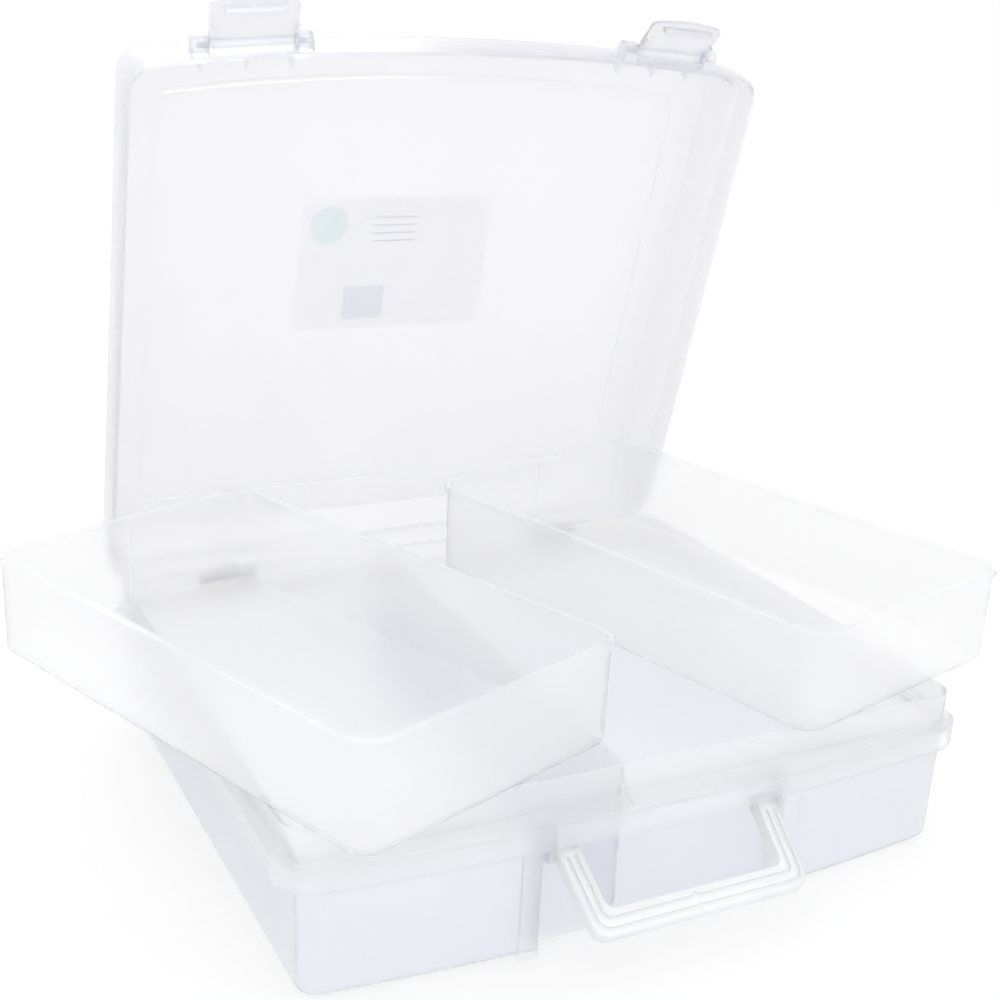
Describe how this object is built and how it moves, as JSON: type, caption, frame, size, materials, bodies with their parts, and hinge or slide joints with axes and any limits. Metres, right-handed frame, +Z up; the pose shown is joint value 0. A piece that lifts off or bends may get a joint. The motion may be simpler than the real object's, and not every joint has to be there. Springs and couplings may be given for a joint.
{
  "type": "parts organizer",
  "caption": "Frosted clear plastic carry case, open, with a hinged lid, swing latches, a carry handle and lift-out trays laid across its rim.",
  "frame": {"origin": "middle of the case's flat underside", "axes": "+X to the case's right, +Z up, the front with the handle faces -Y"},
  "size_m": [0.4981, 0.403, 0.4188],
  "materials": {
    "frosted_plastic": "frosted translucent",
    "clear_latch": "translucent",
    "white_handle": "satin",
    "pin_plastic": "satin",
    "label_paper": "matte paper"
  },
  "bodies": {
    "case": {"base": "frosted_plastic", "hinge_pin_left": "pin_plastic", "hinge_pin_right": "pin_plastic"},
    "lid_body": {"lid": "frosted_plastic", "contents_label": "label_paper"},
    "left_latch": {"latch_left": "clear_latch"},
    "right_latch": {"latch_right": "clear_latch"},
    "handle": {"carry_handle": "white_handle"},
    "left_tray": {"tray_left": "frosted_plastic"},
    "right_tray": {"tray_right": "frosted_plastic"}
  },
  "joints": [
    {"name": "lid_hinge", "type": "hinge", "parent": "case", "child": "lid_body", "pos_m": [0, 0.166, 0.073], "axis": [-1, 0, 0], "range_deg": [-5, 100]},
    {"name": "left_latch_hinge", "type": "hinge", "parent": "lid_body", "child": "left_latch", "pos_m": [-0.124, 0.0788, 0.39617], "axis": [-0.9972, 0.0204, -0.0725], "range_deg": [-77, 73]},
    {"name": "right_latch_hinge", "type": "hinge", "parent": "lid_body", "child": "right_latch", "pos_m": [0.124, 0.0788, 0.39617], "axis": [-0.9972, -0.0204, 0.0725], "range_deg": [-61, 89]},
    {"name": "handle_hinge", "type": "hinge", "parent": "case", "child": "handle", "pos_m": [0, -0.1625, 0.053], "axis": [-1, 0, 0], "range_deg": [-55, 33]},
    {"name": "left_tray_lift", "type": "slide", "parent": "case", "child": "left_tray", "axis": [0, 0, 1], "range_m": [0, 0.06]},
    {"name": "right_tray_lift", "type": "slide", "parent": "case", "child": "right_tray", "axis": [0, 0, 1], "range_m": [0, 0.06]}
  ]
}
